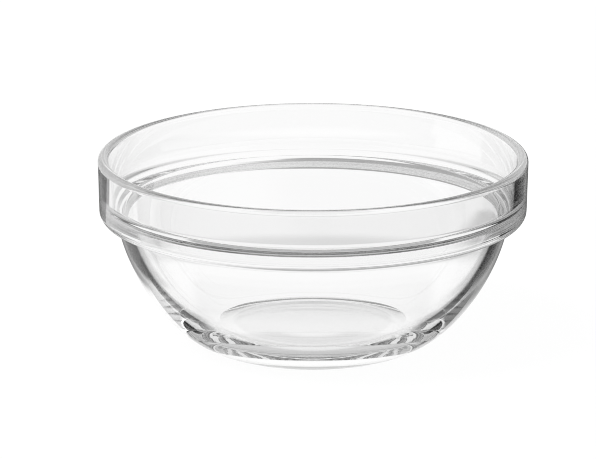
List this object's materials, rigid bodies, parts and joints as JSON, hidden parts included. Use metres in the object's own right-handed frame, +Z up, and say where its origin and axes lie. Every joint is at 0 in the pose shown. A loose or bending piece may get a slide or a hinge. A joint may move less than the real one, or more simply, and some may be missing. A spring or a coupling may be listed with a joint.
{
  "type": "sauce bowl",
  "caption": "Clear pressed-glass sauce bowl: a rounded body under an upright stacking collar, with a ledge inside, a shoulder outside and a flat foot ring.",
  "frame": {"origin": "middle of the foot ring, on the table", "axes": "+Z up along the bowl's axis, from the foot to the lip; the bowl is round, so X and Y are free"},
  "size_m": [0.1, 0.1, 0.045],
  "materials": {
    "clear_glass": "fire-polished, clear and colourless"
  },
  "bodies": {
    "root": {"glass_bowl": "clear_glass"}
  },
  "joints": []
}
